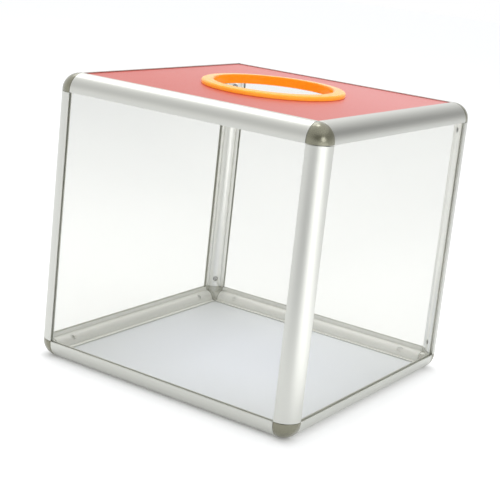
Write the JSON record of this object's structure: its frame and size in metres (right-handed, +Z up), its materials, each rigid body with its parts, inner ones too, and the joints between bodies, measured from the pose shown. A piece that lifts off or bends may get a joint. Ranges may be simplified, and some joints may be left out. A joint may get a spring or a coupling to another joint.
{
  "type": "hand-draw suggestion box",
  "caption": "Clear-sided box in a quarter-round aluminium frame with ball corner connectors, a coloured top panel and a round ringed hand hole.",
  "frame": {"origin": "centre of the box's footprint, at the height of the surface it stands on", "axes": "+Z up through the hand hole, +X to the right and -Y towards the front"},
  "size_m": [0.3, 0.3, 0.289],
  "materials": {
    "satin_aluminium": "satin anodised extrusion",
    "corner_plastic": "glossy grey-olive moulding",
    "clear_sheet": "clear polished acrylic sheet",
    "top_sheet": "white sheet with a salmon-red face and a soft sheen",
    "floor_sheet": "white sheet",
    "ring_plastic": "glossy orange moulding",
    "screw_steel": "plain steel"
  },
  "bodies": {
    "box": {"corner_bottom_back_left": "corner_plastic", "corner_bottom_back_right": "corner_plastic", "corner_bottom_front_left": "corner_plastic", "corner_bottom_front_right": "corner_plastic", "corner_top_back_left": "corner_plastic", "corner_top_back_right": "corner_plastic", "corner_top_front_left": "corner_plastic", "corner_top_front_right": "corner_plastic", "panel_back": "clear_sheet", "panel_floor": "floor_sheet", "panel_front": "clear_sheet", "panel_left": "clear_sheet", "panel_right": "clear_sheet", "panel_top": "top_sheet", "post_back_left": "satin_aluminium", "post_back_right": "satin_aluminium", "post_front_left": "satin_aluminium", "post_front_right": "satin_aluminium", "rail_bottom_back": "satin_aluminium", "rail_bottom_front": "satin_aluminium", "rail_bottom_left": "satin_aluminium", "rail_bottom_right": "satin_aluminium", "rail_top_back": "satin_aluminium", "rail_top_front": "satin_aluminium", "rail_top_left": "satin_aluminium", "rail_top_right": "satin_aluminium", "screw_post_back_left_1": "screw_steel", "screw_post_back_left_2": "screw_steel", "screw_post_back_right_1": "screw_steel", "screw_post_back_right_2": "screw_steel", "screw_post_front_left_1": "screw_steel", "screw_post_front_left_2": "screw_steel", "screw_post_front_right_1": "screw_steel", "screw_post_front_right_2": "screw_steel", "screw_rail_bottom_back_1": "screw_steel", "screw_rail_bottom_back_2": "screw_steel", "screw_rail_bottom_front_1": "screw_steel", "screw_rail_bottom_front_2": "screw_steel", "screw_rail_bottom_left_1": "screw_steel", "screw_rail_bottom_left_2": "screw_steel", "screw_rail_bottom_right_1": "screw_steel", "screw_rail_bottom_right_2": "screw_steel", "screw_rail_top_back_1": "screw_steel", "screw_rail_top_back_2": "screw_steel", "screw_rail_top_front_1": "screw_steel", "screw_rail_top_front_2": "screw_steel", "screw_rail_top_left_1": "screw_steel", "screw_rail_top_left_2": "screw_steel", "screw_rail_top_right_1": "screw_steel", "screw_rail_top_right_2": "screw_steel"},
    "ring": {"hand_ring": "ring_plastic"}
  },
  "joints": [
    {"name": "ring_lift", "type": "slide", "parent": "box", "child": "ring", "axis": [0, 0, 1], "range_m": [0, 0.03]}
  ]
}
